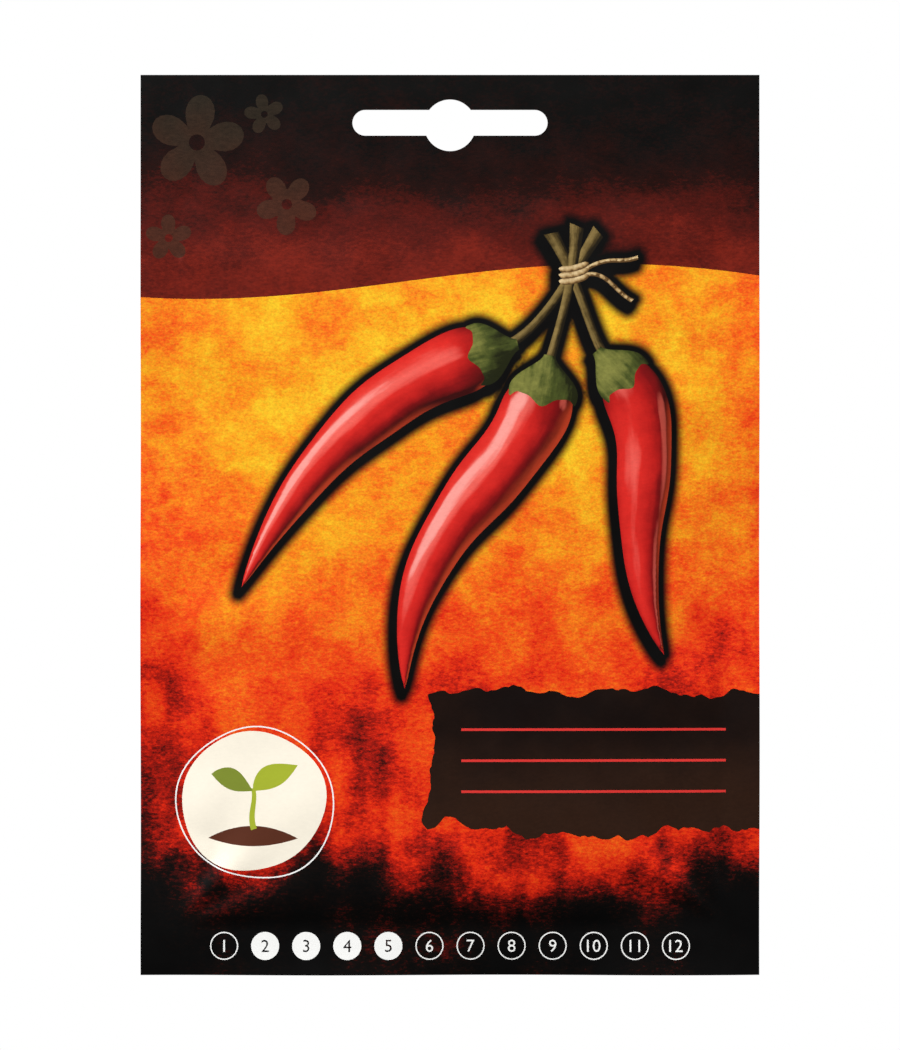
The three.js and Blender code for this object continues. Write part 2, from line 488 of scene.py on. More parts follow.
def month_row(h, pitch, radius, filled):
    """Twelve small roundels with the months' numbers, filled for the months to sow in."""
    shapes = []
    for month in range(1, 13):
        x = (month - 6.5) * pitch
        disc = circle(x, h, radius, 32)
        digits = number_loops(month, x, h, radius * 1.25)
        if month in filled:
            shapes += [Shape("white", [disc]), Shape("ground", digits)]
        else:
            shapes += [Shape("white", [disc, circle(x, h, radius - 0.22, 32)]), Shape("white", digits)]
    return shapes


def front_print():
    rng = np.random.default_rng(11)
    shapes = header() + blossoms() + label(rng)
    shapes += badge(-35, 31, radius=12.6)
    shapes += month_row(5.2, pitch=7.3, radius=2.5, filled=(2, 3, 4, 5))
    return shapes + chillies()


# The back's print, which is laid out as its own reader sees it and mirrored onto the packet

def calendar_table(left, low, cell, height):
    """Twelve numbered columns over two rows of bars: months to sow, and months to pick."""
    right, line = left + 12 * cell, 0.2
    shapes = [Shape("maroon", [rectangle(left, low + 2 * height, right, low + 3 * height)])]
    for h in (low, low + height):
        shapes.append(Shape("grey", [rectangle(left, h, right, h + line)]))
    for x in left + cell * np.arange(13):
        shapes.append(Shape("grey", [rectangle(x - line / 2, low, x + line / 2, low + 2 * height)]))
    for month in range(1, 13):
        centre = left + (month - 0.5) * cell
        shapes.append(Shape("white", number_loops(month, centre, low + 2.5 * height, height * 0.62)))
    for row, first, last, ink in ((1, 2, 5, "orange"), (0, 7, 10, "red")):
        bar = rounded_rectangle(left + (first - 1) * cell + 0.8, low + row * height + 1.3,
                                left + last * cell - 0.8, low + (row + 1) * height - 1.1, 1.2)
        shapes.append(Shape(ink, [bar]))
    return shapes


def pictogram_frame(cx, cy, half):
    radius, line = 2.5, 0.35
    outer, inner = (rounded_rectangle(cx - half + inset, cy - half + inset, cx + half - inset,
                                      cy + half - inset, radius - inset) for inset in (0, line))
    return [Shape("maroon", [outer, inner])]


def seedling(x, ground, height, spread):
    """A plant with a bent stem, and pairs of leaves that grow wider downwards."""
    bend = 0.3
    stem_controls = [(x, ground), (x - bend, ground + height / 3), (x + bend, ground + height / 2),
                     (x, ground + height)]
    stem = Spine(stem_controls, lambda s: 0.4 - 0.12 * s)
    shapes = [Shape("sprout", [stem.outline(8)])]
    for share in np.linspace(1, 0.55, max(1, round(height / 4))):
        top = ground + height * share
        reach = spread * (1.35 - 0.5 * share)
        shapes += [
            Shape("sprout", [leaf((x, top - 0.3), (x + reach, top + reach * 0.45), reach * 0.3)]),
            Shape("leaf_dark", [leaf((x - reach, top + reach * 0.4), (x, top - 0.3), reach * 0.3)]),
        ]
    return shapes


def measure(start, end, ink):
    """A thin line with an arrow head at each end."""
    start, end = np.array(start, float), np.array(end, float)
    along = (end - start) / np.linalg.norm(end - start)
    side = np.array([-along[1], along[0]])
    half_line, half_head, head_length = side * 0.12, side * 0.7, 1.5
    shaft = [start + along + half_line, end - along + half_line, end - along - half_line,
             start + along - half_line]
    heads = [[tip, tip + inwards * head_length + half_head, tip + inwards * head_length - half_head]
             for tip, inwards in ((start, along), (end, -along))]
    return [Shape(ink, [np.array(part)]) for part in [shaft] + heads]


def small_fruit(x, top):
    """One hanging fruit of the pictured plant."""
    controls = [(x, top), (x + 0.2, top - 1.2), (x - 0.2, top - 2.4), (x, top - 3.6)]
    return Shape("red", [Spine(controls, lambda s: 0.62 * (1 - s ** 2) ** 0.6).outline(12)])


def pictograms(cy):
    """Three plain drawings: how deep to sow, how far apart to plant, and the plant when grown."""
    half, spacing = 13, 31
    soil_half = half - 1.6
    soil_top, seed_h, measure_h = cy - 3, cy - 7.6, cy + 9.3
    shapes = []
    for cx in (-spacing, 0, spacing):
        shapes += pictogram_frame(cx, cy, half)
        shapes.append(Shape("soil", [rectangle(cx - soil_half, cy - soil_half, cx + soil_half, soil_top)]))
    shapes.append(Shape("cream", [circle(-spacing, seed_h, 1.3, 20)]))
    shapes += measure((-spacing + 4, soil_top), (-spacing + 4, seed_h), "cream")
    shapes += seedling(-spacing, soil_top, height=5.5, spread=3.2)
    for x in (-6, 6):
        shapes += seedling(x, soil_top, height=7.5, spread=3.0)
    shapes += measure((-6, measure_h), (6, measure_h), "maroon")
    shapes += seedling(spacing, soil_top, height=11.5, spread=4.4)
    hung = ((-4.5, 7.7), (4.6, 7.9), (-1.9, 5.4), (1.9, 5.2))
    shapes += [small_fruit(spacing + dx, soil_top + dh) for dx, dh in hung]
    return shapes


def back_print():
    x = np.linspace(-HALF_WIDTH, HALF_WIDTH, 80)
    edge = np.column_stack([x, header_edge(-x)])
    line = edge + (0, -1.1)
    shapes = [
        Shape("orange", [np.vstack([line, edge[::-1] + (0, 0.2)])]),
        Shape("header", [np.vstack([edge, [(HALF_WIDTH, HEIGHT), (-HALF_WIDTH, HEIGHT)]])]),
        Shape("header", [rectangle(-HALF_WIDTH, 0, HALF_WIDTH, 10)]),
    ]
    shapes += calendar_table(-45, 94, cell=7.5, height=6)
    shapes += pictograms(74)
    shapes += [Shape("grey", [rectangle(-44, h, 44, h + 0.22)]) for h in np.arange(20, 54, 6)]
    return shapes


# Cutting a panel's mesh along its print

def inside(points, loops):
    """Which points lie inside, by the even-odd rule over all the outlines."""
    found = np.zeros(len(points), bool)
    for loop in loops:
        low, high = loop.min(axis=0), loop.max(axis=0)
        near = np.flatnonzero(((points >= low) & (points <= high)).all(axis=1))
        x, y = points[near, 0][:, None], points[near, 1][:, None]
        ax, ay = loop[:, 0], loop[:, 1]
        bx, by = np.roll(ax, -1), np.roll(ay, -1)
        straddles = (ay > y) != (by > y)
        rise = np.where(by == ay, 1, by - ay)
        crossing = straddles & (x < ax + (y - ay) / rise * (bx - ax))
        found[near] ^= crossing.sum(axis=1) % 2 == 1
    return found


def edge_distance(points, loops, limit):
    """Distance from each point to the nearest outline, up to a limit."""
    best = np.full(len(points), float(limit))
    for loop in loops:
        low, high = loop.min(axis=0) - limit, loop.max(axis=0) + limit
        near = np.flatnonzero(((points >= low) & (points <= high)).all(axis=1))
        start, span = loop, np.roll(loop, -1, axis=0) - loop
        length = np.maximum((span ** 2).sum(axis=1), 1e-12)
        offset = points[near][:, None] - start[None]
        share = np.clip((offset * span).sum(axis=2) / length, 0, 1)
        gap = np.linalg.norm(offset - share[..., None] * span, axis=2).min(axis=1)
        best[near] = np.minimum(best[near], gap)
    return best


def scattered(left, low, right, high, step, rng):
    """Loose points in staggered rows, each moved a little."""
    rows = np.arange(low, high, step * 0.866)
    points = []
    for i, h in enumerate(rows):
        x = np.arange(left + (i % 2) * step / 2, right, step)
        points.append(np.column_stack([x, np.full(len(x), h)]))
    points = np.vstack(points)
    return points + rng.uniform(-0.1, 0.1, points.shape) * step


def loose_points(outlines, fine_box, rng):
    """Mesh points for the pocket's curves and the fruit's shading, kept clear of every outline."""
    seals = scattered(-HALF_WIDTH, 0, HALF_WIDTH, HEIGHT, SEAL_STEP, rng)
    in_pocket = (abs(seals[:, 0]) < POCKET_HALF) & (seals[:, 1] > BOTTOM_SEAL) & (seals[:, 1] < POCKET_TOP)
    pocket = scattered(-POCKET_HALF, BOTTOM_SEAL, POCKET_HALF, POCKET_TOP, POCKET_STEP, rng)
    sets = [seals[~in_pocket]]
    if fine_box is None:
        sets.append(pocket)
    else:
        in_fine = ((pocket > fine_box[:2]) & (pocket < fine_box[2:])).all(axis=1)
        sets += [pocket[~in_fine], scattered(*fine_box, FINE_STEP, rng)]
    points = np.vstack(sets)
    return points[edge_distance(points, outlines, POINT_CLEARANCE * 2) > POINT_CLEARANCE]


def cut_net(shapes, fine_box, rng):
    """Triangles of a flat panel, cut along its outline, slot, seals and print. Gives the points,
    the triangles, and the number of the shape that each triangle is printed in, or -1."""
    sheet = divided(rectangle(-HALF_WIDTH, 0, HALF_WIDTH, HEIGHT), RIM_STEP)
    slot = slot_outline()
    seam = divided(rectangle(-POCKET_HALF, BOTTOM_SEAL, POCKET_HALF, POCKET_TOP), RIM_STEP)
    outlines = [sheet, slot, seam] + [divided(loop, RIM_STEP) for shape in shapes for loop in shape.loops]
    points, edges = [], []
    for loop in outlines:
        first, count = len(points), len(loop)
        points += [Vector(point) for point in loop]
        edges += [(first + i, first + (i + 1) % count) for i in range(count)]
    points += [Vector(point) for point in loose_points(outlines, fine_box, rng)]
    found = delaunay_2d_cdt(points, edges, [], 0, 1e-3)
    points = np.array([tuple(point) for point in found[0]])
    triangles = np.array([tuple(face) for face in found[2]])
    middles = points[triangles].mean(axis=1)
    kept = inside(middles, [sheet]) & ~inside(middles, [slot])
    triangles, middles = triangles[kept], middles[kept]
    used, triangles = np.unique(triangles, return_inverse=True)
    triangles = triangles.reshape(-1, 3)
    points = points[used]
    sides = points[triangles]
    first, second = sides[:, 1] - sides[:, 0], sides[:, 2] - sides[:, 0]
    clockwise = first[:, 0] * second[:, 1] - first[:, 1] * second[:, 0] < 0
    triangles[clockwise] = triangles[clockwise][:, ::-1]
    printed = np.full(len(triangles), -1)
    for number, shape in enumerate(shapes):
        printed[inside(middles, shape.loops)] = number
    return points, triangles, printed


def rim_edges(triangles):
    """The edges that only one triangle uses, in its direction."""
    edges = np.vstack([triangles[:, [0, 1]], triangles[:, [1, 2]], triangles[:, [2, 0]]])
    big = triangles.max() + 1
    forward = edges[:, 0] * big + edges[:, 1]
    backward = edges[:, 1] * big + edges[:, 0]
    return edges[~np.isin(forward, backward)]


def add_values(mesh, name, values):
    kind, key = ("FLOAT", "value") if values.ndim == 1 else ("FLOAT_VECTOR", "vector")
    data = mesh.attributes.new(name, kind, "CORNER").data
    data.foreach_set(key, values.astype(np.float32).ravel())


def add_round_forms(mesh, shapes, flat, triangles, printed):
    """Corner values that tell an ink where it is on a pictured round body, and where that faces."""
    run, form = np.zeros((len(mesh.loops), 3)), np.zeros((len(mesh.loops), 3))
    for number, shape in enumerate(shapes):
        if shape.spine is not None:
            picked = np.flatnonzero(printed == number)
            at = (picked[:, None] * 3 + np.arange(3)).ravel()
            run[at, :2], form[at] = shape.spine.round_form(flat[triangles[picked].ravel()], shape.roundness)
            run[at, 2] = SHAPE_SPACING * number
    add_values(mesh, "run", run)
    add_values(mesh, "form", form)


def bake_map(mesh, points, count, corners):
    """A UV map for a bake. The printed face has the picture's whole height, the inner face lies
    small to the right of it, and the rim smaller still in the corner above that."""
    margin, inner_left, inner_scale, rim_corner, rim_scale = 0.01, 0.71, 0.35, 0.75, 0.2
    place = (points + (HALF_WIDTH, 0)) * (1 - 2 * margin) / HEIGHT
    outer, inner = place + margin, place * inner_scale + (inner_left, margin)
    places = np.vstack([outer, inner])[corners]
    rim = np.arange(len(corners)) >= 6 * count
    places[rim] = rim_corner + rim_scale * places[rim]
    layer = mesh.uv_layers.new(name="OFBake")
    layer.data.foreach_set("uv", places.astype(np.float32).ravel())


def closed_sheet(name, side, flat, triangles):
    """A mesh with the cut net's printed faces first, then the inner faces, and then the rim's."""
    x, h = flat[:, 0] * -side, flat[:, 1]
    depth, wave = panel_depth(x, h, side), edge_wave(x, h)
    z = h * MM + BOTTOM_Z
    outer = np.column_stack([x * MM, (side * (depth + PAPER) + wave) * MM, z])
    inner = np.column_stack([x * MM, (side * depth + wave) * MM, z])
    sheets = np.vstack([triangles, triangles[:, ::-1] + len(flat)])
    rim = rim_edges(triangles)
    walls = np.column_stack([rim[:, 0], rim[:, 0] + len(flat), rim[:, 1] + len(flat), rim[:, 1]])
    mesh = bpy.data.meshes.new(name)
    mesh.from_pydata(np.vstack([outer, inner]).tolist(), [], sheets.tolist() + walls.tolist())
    mesh.polygons.foreach_set("use_smooth", np.ones(len(mesh.polygons), bool))
    mesh.set_sharp_from_angle(angle=math.radians(50))
    return mesh


def set_inks(mesh, shapes, printed, inks, base_ink):
    """Each printed face takes its shape's ink or the base ink, and all other faces take the bare paper's
    grey core colour, darkened as painted shade.
    """
    names = sorted({base_ink} | {shape.ink for shape in shapes}) + ["core_and_shade"]
    for ink in names:
        mesh.materials.append(inks[ink])
    ink_of = np.array([names.index(shape.ink) for shape in shapes] + [names.index(base_ink)])
    slots = np.full(len(mesh.polygons), names.index("core_and_shade"), np.int32)
    slots[:len(printed)] = ink_of[printed]
    mesh.polygons.foreach_set("material_index", slots)


def panel(name, side, shapes, inks, base_ink, fine_box=None, halo=None):
    """A closed sheet of paper. side is -1 for the front panel, whose print faces -Y, and 1 for the
    back panel. Its outer face takes the inks, and its inner face and rim are bare paper, in a grey
    that is darkened as painted shade."""
    rng = np.random.default_rng(3 if side < 0 else 4)
    flat, triangles, printed = cut_net(shapes, fine_box, rng)
    mesh = closed_sheet(name, side, flat, triangles)
    set_inks(mesh, shapes, printed, inks, base_ink)
    corners = np.empty(len(mesh.loops), np.int32)
    mesh.loops.foreach_get("vertex_index", corners)
    add_round_forms(mesh, shapes, flat, triangles, printed)
    distance = np.full(2 * len(flat), NO_HALO)
    if halo is not None:
        distance[:len(flat)] = halo(flat)
    add_values(mesh, "halo", distance[corners])
    bake_map(mesh, flat, len(triangles), corners)
    mesh.validate()
    return add_object(name, mesh)


def inside_any(points, loops):
    found = np.zeros(len(points), bool)
    for loop in loops:
        found |= inside(points, [loop])
    return found


def fruit_halo(shapes):
    """Distance of each point from the fruit and their stems, and from their shadow down to the right."""
    loops = [loop for shape in shapes if shape.spine is not None for loop in shape.loops]
    shadow = np.array([-0.6, -1.2])

    def halo(points):
        nearest = np.full(len(points), float(HALO_LIMIT))
        for moved in (points, points - shadow):
            distance = edge_distance(moved, loops, HALO_LIMIT)
            distance[inside_any(moved, loops)] = 0
            nearest = np.minimum(nearest, distance)
        return nearest
    return halo


# Inks

class Ink:
    """A material with short calls for the nodes that its print needs."""

    def __init__(self, name, roughness=0.36):
        self.material = bpy.data.materials.new(name)
        self.material.use_nodes = True
        self.tree = self.material.node_tree
        self.shader = self.tree.nodes["Principled BSDF"]
        self.shader.inputs["Specular IOR Level"].default_value = 0.25
        place = self.node("ShaderNodeTexCoord").outputs["Object"]
        offset = (0, 0, -BOTTOM_Z / MM)
        self.place = self.node("ShaderNodeVectorMath", {"operation": "MULTIPLY_ADD"},
                               {0: place, 1: (1 / MM,) * 3, 2: offset}).outputs[0]
        split = self.node("ShaderNodeSeparateXYZ", {}, {0: self.place})
        self.x, self.h = split.outputs["X"], split.outputs["Z"]
        self.finish(roughness)

    def node(self, kind, settings=None, inputs=None):
        made = self.tree.nodes.new(kind)
        for key, value in (settings or {}).items():
            setattr(made, key, value)
        for socket, value in (inputs or {}).items():
            if isinstance(value, bpy.types.NodeSocket):
                self.tree.links.new(value, made.inputs[socket])
            else:
                made.inputs[socket].default_value = value
        return made

    def math(self, operation, a, b=0.0):
        return self.node("ShaderNodeMath", {"operation": operation}, {0: a, 1: b}).outputs[0]

    def add(self, *terms):
        total = terms[0]
        for term in terms[1:]:
            total = self.math("ADD", total, term)
        return total

    def times(self, a, b):
        return self.math("MULTIPLY", a, b)

    def smooth(self, value, low, high):
        """0 below low, 1 above high, and a smooth step between."""
        inputs = {"Value": value, "From Min": low, "From Max": high}
        return self.node("ShaderNodeMapRange", {"interpolation_type": "SMOOTHSTEP"}, inputs).outputs[0]

    def noise(self, wide, tall, seed=0, detail=3, roughness=0.55):
        """Noise about zero, whose cells are so many millimetres wide and tall."""
        offset = (seed * 7.31, seed * 3.17, seed * 5.77)
        scaled = self.node("ShaderNodeVectorMath", {"operation": "MULTIPLY_ADD"},
                           {0: self.place, 1: (1 / wide, 0, 1 / tall), 2: offset}).outputs[0]
        inputs = {"Vector": scaled, "Scale": 1.0, "Detail": detail, "Roughness": roughness}
        made = self.node("ShaderNodeTexNoise", {}, inputs)
        return self.math("SUBTRACT", made.outputs[0], 0.5)

    def ramp(self, value, stops):
        made = self.node("ShaderNodeValToRGB", {}, {0: value})
        elements = made.color_ramp.elements
        while len(elements) < len(stops):
            elements.new(0.5)
        for element, (place, colour) in zip(elements, stops):
            element.position = place
            element.color = (*colour, 1)
        return made.outputs[0]

    def mix(self, factor, a, b):
        colours = [(*c, 1) if isinstance(c, tuple) else c for c in (a, b)]
        inputs = {"Factor": factor, 6: colours[0], 7: colours[1]}
        return self.node("ShaderNodeMix", {"data_type": "RGBA"}, inputs).outputs[2]

    def value(self, name, output="Fac"):
        return self.node("ShaderNodeAttribute", {"attribute_name": name}).outputs[output]

    def vector(self, operation, a, b, output=0):
        return self.node("ShaderNodeVectorMath", {"operation": operation}, {0: a, 1: b}).outputs[output]

    def facing(self, run_cells, roughness_of_skin):
        """Where the pictured body faces, disturbed by the small hills and hollows of its skin."""
        scaled = self.vector("MULTIPLY", self.value("run", "Vector"), tuple(1 / cell for cell in run_cells))
        inputs = {"Vector": scaled, "Scale": 1.0, "Detail": 3.0, "Roughness": 0.55}
        hills = self.node("ShaderNodeTexNoise", {}, inputs).outputs["Color"]
        hills = self.vector("SUBTRACT", hills, (0.5, 0.5, 0.5))
        hills = self.vector("MULTIPLY", hills, (roughness_of_skin,) * 3)
        form = self.vector("ADD", self.value("form", "Vector"), hills)
        return self.node("ShaderNodeVectorMath", {"operation": "NORMALIZE"}, {0: form}).outputs[0]

    def towards(self, facing, direction):
        """How far the pictured body faces in a direction, from -1 to 1."""
        unit = tuple(Vector(direction).normalized())
        return self.vector("DOT_PRODUCT", facing, unit, "Value")

    def grain(self):
        """The print's fine grain, drawn out sideways."""
        return self.noise(0.8, 0.38, 9, detail=2, roughness=0.75)

    def brighten(self, colour, amount):
        """The colour times one plus the amount."""
        inputs = {0: colour, "Scale": self.math("ADD", amount, 1.0)}
        return self.node("ShaderNodeVectorMath", {"operation": "SCALE"}, inputs).outputs[0]

    def colour(self, colour):
        self.tree.links.new(colour, self.shader.inputs["Base Color"])
        return self.material

    def finish(self, roughness):
        """The laminated paper's own surface: fine fibres under a satin film."""
        fibres = self.noise(0.35, 0.35, 21, detail=3, roughness=0.6)
        bump = self.node("ShaderNodeBump", {}, {"Height": fibres, "Strength": 0.25, "Distance": 0.02 * MM})
        self.tree.links.new(bump.outputs[0], self.shader.inputs["Normal"])
        worn = self.noise(6, 6, 33, detail=4)
        level = self.math("ADD", self.times(worn, 0.12), roughness)
        self.tree.links.new(level, self.shader.inputs["Roughness"])


FIRE_STOPS = [
    (0.00, (0.001, 0.0008, 0.0008)),
    (0.14, (0.004, 0.0015, 0.001)),
    (0.26, (0.06, 0.003, 0.002)),
    (0.38, (0.36, 0.008, 0.003)),
    (0.48, (0.70, 0.020, 0.004)),
    (0.60, (0.80, 0.070, 0.006)),
    (0.72, (0.84, 0.175, 0.008)),
    (0.85, (0.85, 0.33, 0.010)),
    (1.00, (0.86, 0.52, 0.018)),
]
BLACK = (0.001, 0.0008, 0.0008)


def fire(ink):
    """The mottled ground, from black at the foot through red to a yellow-orange glow."""
    warp = ink.times(ink.noise(30, 38, 1, detail=2), 26)
    ragged = ink.times(ink.noise(7, 12, 2, detail=5, roughness=0.6), 16)
    height = ink.add(ink.h, warp)
    foot = ink.smooth(ink.add(height, ragged), 5, 26)
    body = ink.smooth(height, 32, 96)
    smears = ink.math("MAXIMUM", ink.noise(9, 55, 3, detail=2), 0.0)
    smears = ink.times(ink.times(smears, -0.7), ink.math("SUBTRACT", 1.15, body))
    glow = ink.times(ink.smooth(height, 62, 112), 0.06)
    edge = ink.smooth(ink.math("ABSOLUTE", ink.add(ink.x, ink.times(ink.noise(20, 30, 4), 12))), 36, 60)
    clouds = ink.times(ink.add(ink.smooth(ink.noise(13, 12, 5, detail=4), -0.15, 0.15), -0.5), 0.18)
    mottle = ink.times(ink.noise(6, 5, 6, detail=6, roughness=0.66), ink.add(0.2, ink.times(body, 0.35)))
    base = ink.add(0.04, ink.times(foot, 0.47), ink.times(body, 0.28), glow, smears, clouds, mottle,
                   ink.times(edge, -0.12))
    dark = ink.math("SUBTRACT", 1.0, ink.smooth(base, 0.2, 0.62))
    grain = ink.times(ink.grain(), ink.add(0.42, ink.times(dark, 0.1)))
    colour = ink.ramp(ink.add(base, grain), FIRE_STOPS)
    specks = ink.noise(0.42, 0.36, 19, detail=2, roughness=0.8)
    return ink.brighten(colour, ink.times(specks, 0.75))


def with_halo(ink, colour):
    """The ground darkened to black close round the fruit."""
    shade = ink.smooth(ink.value("halo"), 0.7, 2.7)
    return ink.mix(shade, BLACK, colour)


def ground_ink():
    ink = Ink("print_ground")
    return ink.colour(with_halo(ink, fire(ink)))


def header_ink():
    ink = Ink("print_header")
    warp = ink.times(ink.noise(26, 18, 6, detail=4, roughness=0.6), 30)
    glow = ink.times(ink.math("SUBTRACT", 1.0, ink.smooth(ink.add(ink.h, warp), 122, 158)), 0.84)
    mottle = ink.times(ink.noise(9, 7, 7, detail=5, roughness=0.65), 0.55)
    grain = ink.times(ink.grain(), 0.6)
    stops = [(0.0, (0.001, 0.0008, 0.0006)), (0.35, (0.015, 0.002, 0.001)),
             (0.7, (0.09, 0.006, 0.003)), (1.0, (0.20, 0.014, 0.006))]
    return ink.colour(with_halo(ink, ink.ramp(ink.add(glow, mottle, grain), stops)))


def faint_ink():
    ink = Ink("print_blossom")
    tone = ink.smooth(ink.add(ink.h, ink.times(ink.noise(8, 8, 8), 20)), 128, 158)
    colour = ink.mix(tone, (0.060, 0.016, 0.008), (0.020, 0.014, 0.008))
    return ink.colour(ink.brighten(colour, ink.times(ink.grain(), 1.3)))


def label_ink():
    ink = Ink("print_label")
    tone = ink.smooth(ink.add(ink.h, ink.times(ink.noise(20, 16, 10), 30)), 26, 54)
    colour = ink.mix(tone, (0.026, 0.010, 0.005), (0.005, 0.002, 0.0015))
    return ink.colour(ink.brighten(colour, ink.times(ink.grain(), 0.6)))


SKIN_STOPS = [
    (0.00, (0.035, 0.001, 0.001)),
    (0.30, (0.20, 0.003, 0.004)),
    (0.55, (0.48, 0.011, 0.009)),
    (0.80, (0.68, 0.022, 0.016)),
    (1.00, (0.80, 0.05, 0.035)),
]


def fruit_ink():
    """The glossy skin of a ripe chilli, as it is pictured under a window's light from the left."""
    ink = Ink("print_fruit")
    facing = ink.facing((16, 2.6, 1), 0.55)
    along = ink.node("ShaderNodeSeparateXYZ", {}, {0: ink.value("run", "Vector")}).outputs["X"]
    lit, blotches = ink.towards(facing, (-0.45, 0.35, 0.75)), ink.noise(3, 3, 13, detail=4)
    clear_of_calyx = ink.add(0.62, ink.times(ink.smooth(along, 3.5, 10), 0.38))
    tone = ink.times(ink.add(ink.times(lit, 0.9), ink.times(blotches, 0.3)), clear_of_calyx)
    skin = ink.ramp(tone, SKIN_STOPS)
    warm = ink.smooth(ink.towards(facing, (0.85, -0.45, 0.12)), 0.72, 1.0)
    skin = ink.mix(ink.times(warm, 0.5), skin, (0.75, 0.07, 0.02))
    sheen = ink.smooth(ink.towards(facing, (-0.42, 0.25, 0.87)), 0.90, 1.0)
    skin = ink.mix(ink.times(sheen, 0.55), skin, (0.93, 0.20, 0.16))
    gloss = ink.smooth(ink.towards(facing, (-0.5, 0.3, 0.81)), 0.965, 0.995)
    skin = ink.mix(ink.times(gloss, 0.7), skin, (0.96, 0.42, 0.37))
    rim = ink.smooth(ink.towards(facing, (0.75, 0.1, 0.64)), 0.975, 0.998)
    skin = ink.mix(ink.times(rim, 0.35), skin, (0.92, 0.16, 0.11))
    return ink.colour(ink.brighten(skin, ink.times(ink.grain(), 0.3)))


def fibrous_ink(name, cells, shadow, middle, light):
    """A stem, calyx or thread, lit from the left, with fibres along it."""
    ink = Ink(name)
    lit, blotches = ink.towards(ink.facing(cells, 1.3), (-0.6, 0.35, 0.7)), ink.noise(1.2, 1.2, 15)
    tone = ink.add(ink.times(lit, 0.9), ink.times(blotches, 0.5))
    colour = ink.ramp(tone, [(0.05, shadow), (0.5, middle), (0.95, light)])
    return ink.colour(ink.brighten(colour, ink.times(ink.grain(), 0.5)))


def flat_ink(name, colour):
    """A plain printed tone, with the small unevenness of ink on paper."""
    ink = Ink(name, roughness=0.38)
    amount = ink.times(ink.add(ink.noise(5, 5, 17, detail=4), ink.grain()), 0.1)
    return ink.colour(ink.brighten(colour, amount))


def make_inks():
    plain = {
        "white": (0.88, 0.88, 0.86),
        "cream": (0.93, 0.86, 0.72),
        "red": (0.66, 0.035, 0.03),
        "orange": (0.93, 0.20, 0.012),
        "maroon": (0.12, 0.012, 0.008),
        "soil": (0.10, 0.028, 0.014),
        "sprout": (0.36, 0.42, 0.03),
        "leaf_dark": (0.20, 0.25, 0.03),
        "grey": (0.45, 0.40, 0.34),
        "paper": (0.81, 0.76, 0.66),
        # The cut edge and inner face: a greyish laminate colour, darkened further as painted shade so that
        # the rim seen edge-on reads as a shadowed line
        "core_and_shade": (0.42, 0.39, 0.34),
    }
    inks = {name: flat_ink(f"print_{name}", colour) for name, colour in plain.items()}
    inks["ground"] = ground_ink()
    inks["header"] = header_ink()
    inks["faint"] = faint_ink()
    inks["label"] = label_ink()
    inks["fruit"] = fruit_ink()
    for name, cells, shadow, middle, light in (
        ("stem", (7, 0.5, 1), (0.012, 0.008, 0.003), (0.07, 0.045, 0.012), (0.25, 0.17, 0.055)),
        ("calyx", (5, 1.1, 1), (0.012, 0.014, 0.003), (0.06, 0.075, 0.014), (0.22, 0.22, 0.05)),
        ("twine", (0.7, 3, 1), (0.10, 0.05, 0.015), (0.38, 0.24, 0.10), (0.72, 0.55, 0.30)),
    ):
        inks[name] = fibrous_ink(f"print_{name}", cells, shadow, middle, light)
    return inks


# Seeds

def seed_material():
    ink = Ink("seed_coat", 0.62)
    mottle = ink.noise(0.9, 0.7, 5, detail=4, roughness=0.6)
    tone = ink.smooth(mottle, -0.2, 0.2)
    return ink.colour(ink.mix(tone, (0.62, 0.42, 0.17), (0.82, 0.64, 0.34)))


def refined_seed(node, material):
    """A smooth seed in the place of the faceted one."""
    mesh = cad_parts[node].data.copy()
    piece = add_object(f"{node}_coat", mesh)
    weld = piece.modifiers.new("weld", "WELD")
    weld.merge_threshold = 0.01 * MM
    rounding = piece.modifiers.new("rounding", "SUBSURF")
    rounding.levels = rounding.render_levels = 1
    depsgraph = bpy.context.evaluated_depsgraph_get()
    smooth = bpy.data.meshes.new_from_object(piece.evaluated_get(depsgraph))
    piece.modifiers.clear()
    piece.data = smooth
    bpy.data.meshes.remove(mesh)
    smooth.materials.clear()
    smooth.materials.append(material)
    smooth.polygons.foreach_set("use_smooth", np.ones(len(smooth.polygons), bool))
    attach(piece, "root")
    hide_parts(node)


# The studio

def look_at(thing, target):
    thing.rotation_euler = (target - thing.location).to_track_quat("-Z", "Y").to_euler()


def add_camera(centre):
    """Straight on, as far off as the photograph's view height needs with this lens."""
    lens, sensor = 120, 36
    frame_pixels, packet_pixels = 1050, 900
    view_height = frame_pixels / packet_pixels * HEIGHT * MM
    camera = add_object("camera", bpy.data.cameras.new("camera"))
    camera.data.lens = lens
    camera.data.sensor_width = sensor
    camera.location = centre + Vector((0, -view_height * lens / sensor, 0))
    look_at(camera, centre)
    bpy.context.scene.camera = camera


def add_floor():
    """A plain white floor, low enough that the packet is also seen from below."""
    reach, drop = 2.5, 1.0
    corners = [(-reach, -reach), (reach, -reach), (reach, reach), (-reach, reach)]
    mesh = bpy.data.meshes.new("floor")
    mesh.from_pydata([(x, y, BOTTOM_Z - drop) for x, y in corners], [], [(0, 1, 2, 3)])
    floor = add_object("floor", mesh)
    material = bpy.data.materials.new("floor")
    material.use_nodes = True
    shader = material.node_tree.nodes["Principled BSDF"]
    shader.inputs["Base Color"].default_value = (0.3, 0.3, 0.3, 1)
    shader.inputs["Roughness"].default_value = 0.9
    shader.inputs["Specular IOR Level"].default_value = 0.1
    shader.inputs["Emission Color"].default_value = (1, 1, 1, 1)
    shader.inputs["Emission Strength"].default_value = 1.0
    mesh.materials.append(material)
    floor.visible_diffuse = False
    floor.visible_glossy = False


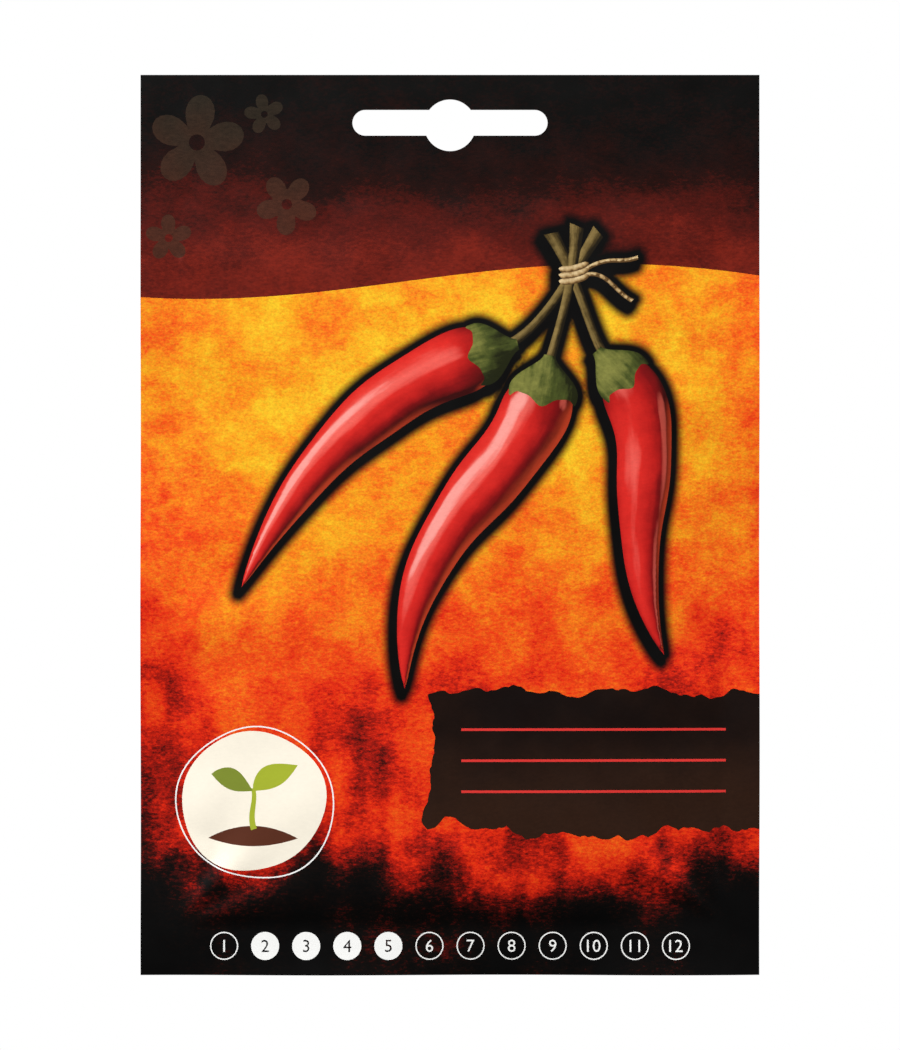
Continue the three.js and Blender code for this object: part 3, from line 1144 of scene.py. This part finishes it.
def add_lights(centre):
    """For the front and the back each, a large soft key light from above and a weak tall strip to
    either side, so that gloss shows the pocket's form and nothing glares from straight ahead."""
    key_place, key_size = (-0.8, -1.15, 1.65), (0.95, 0.95)
    left_place, right_place, strip_size = (-1.15, -0.6, 0.15), (1.15, -0.6, 0.15), (0.2, 0.9)
    for face, turn, key_power in (("front", 1, 80), ("back", -1, 78)):
        for name, (x, y, z), size, power in (
            ("key", key_place, key_size, key_power),
            ("strip_left", left_place, strip_size, 1.2),
            ("strip_right", right_place, strip_size, 2.5),
        ):
            light = add_object(f"{face}_{name}", bpy.data.lights.new(f"{face}_{name}", "AREA"))
            light.data.shape = "RECTANGLE"
            light.data.size, light.data.size_y = size
            light.data.energy = power
            light.location = centre + Vector((turn * x, turn * y, z))
            look_at(light, centre)


def add_world():
    """White behind the packet, and a soft light from above that darkens towards the horizon."""
    horizon_light, high_light, high_z = 0.05, 0.4, 0.9
    world = bpy.data.worlds.new("studio")
    world.use_nodes = True
    nodes, links = world.node_tree.nodes, world.node_tree.links
    kinds = ("TexCoord", "SeparateXYZ", "MapRange", "LightPath", "Mix")
    place, split, fade, seen, choose = (nodes.new(f"ShaderNode{kind}") for kind in kinds)
    links.new(place.outputs["Generated"], split.inputs[0])
    links.new(split.outputs["Z"], fade.inputs["Value"])
    fade.inputs["From Max"].default_value = high_z
    fade.inputs["To Min"].default_value = horizon_light
    fade.inputs["To Max"].default_value = high_light
    links.new(seen.outputs["Is Camera Ray"], choose.inputs["Factor"])
    links.new(fade.outputs[0], choose.inputs["A"])
    choose.inputs["B"].default_value = 1.0
    links.new(choose.outputs[0], nodes["Background"].inputs["Strength"])
    nodes["Background"].inputs["Color"].default_value = (1, 1, 1, 1)
    bpy.context.scene.world = world


def studio():
    centre = Vector((0, 0, BOTTOM_Z + HEIGHT * MM / 2))
    add_camera(centre)
    add_floor()
    add_lights(centre)
    add_world()
    bpy.context.scene.view_settings.view_transform = "Standard"


studio()
inks = make_inks()

front_shapes = front_print()
front = panel("front_panel", -1, front_shapes, inks, "ground", (-44, 46, 44, 128), fruit_halo(front_shapes))
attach(front, "root")
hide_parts("front_web")

back = panel("back_panel", 1, back_print(), inks, "paper")
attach(back, "root")
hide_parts("back_web")

seed_coat = seed_material()
for seed_node in sorted(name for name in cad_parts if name.startswith("seed_")):
    refined_seed(seed_node, seed_coat)
